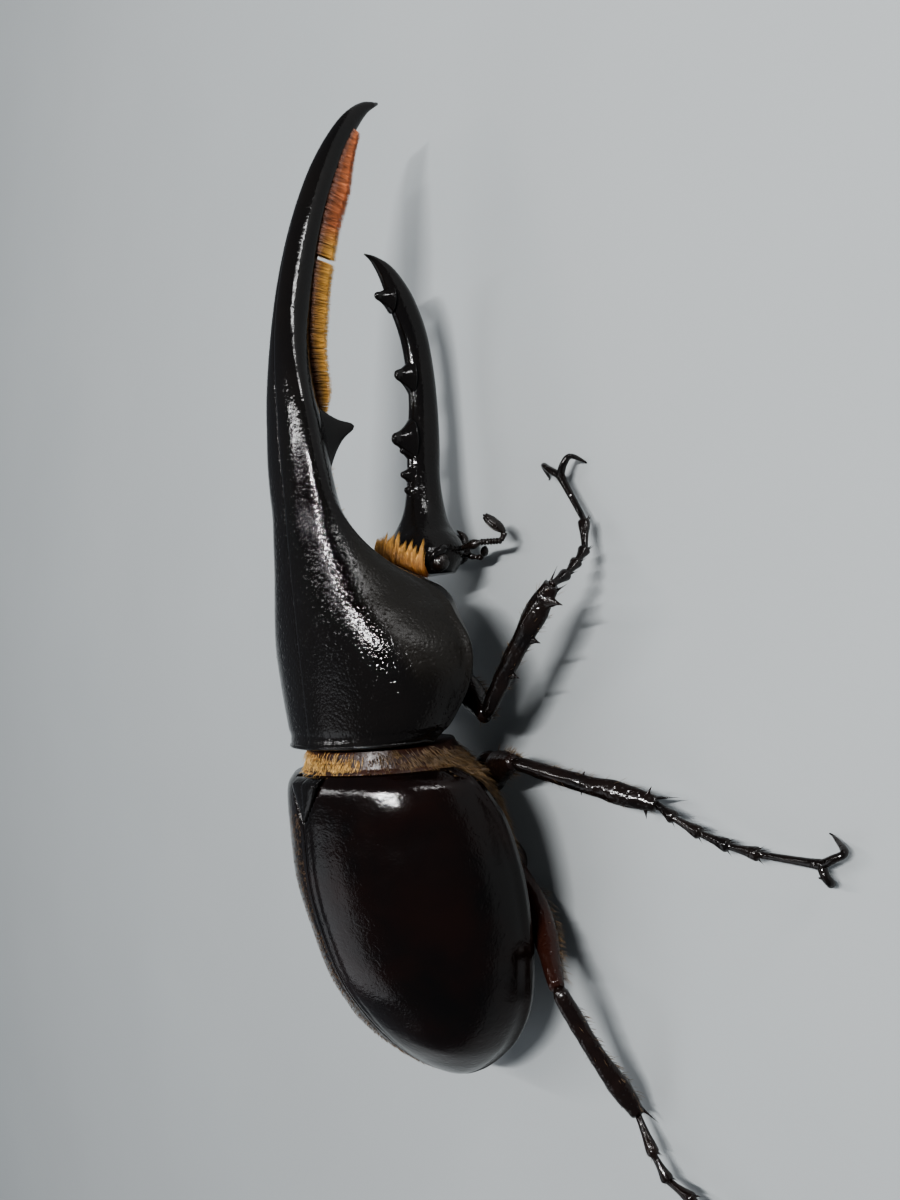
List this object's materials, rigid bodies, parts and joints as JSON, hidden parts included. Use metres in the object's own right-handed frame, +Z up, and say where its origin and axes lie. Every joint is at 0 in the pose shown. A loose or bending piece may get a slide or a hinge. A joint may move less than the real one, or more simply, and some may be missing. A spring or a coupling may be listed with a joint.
{
  "type": "hercules beetle",
  "caption": "Life-size still model of a male hercules beetle standing on spread legs, with its two long horns held like pincers.",
  "frame": {"origin": "on the ground, under the middle of the whole beetle's length and width, legs and horns included", "axes": "+Z up from the ground; the head and horns point to -Y; the beetle's right side is towards -X"},
  "size_m": [0.129, 0.1699, 0.036],
  "materials": {
    "black_shell": "glossy jet-black horny shell with fine punctures",
    "wing_case": "glossy, finely wrinkled shell, black with a dark red-brown tint",
    "body_under": "satin dark brown underside with short hair",
    "leg": "glossy black with a brown tint on the thighs",
    "feeler": "glossy dark brown-black",
    "eye": "polished black compound eye",
    "hair": "dense golden to orange bristle hair"
  },
  "bodies": {
    "root": {"abdomen": "body_under", "antenna_left": "feeler", "antenna_right": "feeler", "eye_left": "eye", "eye_right": "eye", "feeler_left": "feeler", "feeler_right": "feeler", "front_left_foot": "leg", "front_left_hip": "leg", "front_left_shin": "leg", "front_left_thigh": "leg", "front_right_foot": "leg", "front_right_hip": "leg", "front_right_shin": "leg", "front_right_thigh": "leg", "head": "black_shell", "head_horn_base": "black_shell", "head_horn_tip": "black_shell", "hind_left_foot": "leg", "hind_left_hip": "leg", "hind_left_shin": "leg", "hind_left_thigh": "leg", "hind_right_foot": "leg", "hind_right_hip": "leg", "hind_right_shin": "leg", "hind_right_thigh": "leg", "middle_left_foot": "leg", "middle_left_hip": "leg", "middle_left_shin": "leg", "middle_left_thigh": "leg", "middle_right_foot": "leg", "middle_right_hip": "leg", "middle_right_shin": "leg", "middle_right_thigh": "leg", "mouth": "feeler", "pronotum": "black_shell", "pygidium": "body_under", "scutellum": "black_shell", "thoracic_horn_base": "black_shell", "thoracic_horn_tip": "black_shell", "thorax": "body_under", "wing_case_left": "wing_case", "wing_case_right": "wing_case"}
  },
  "joints": []
}
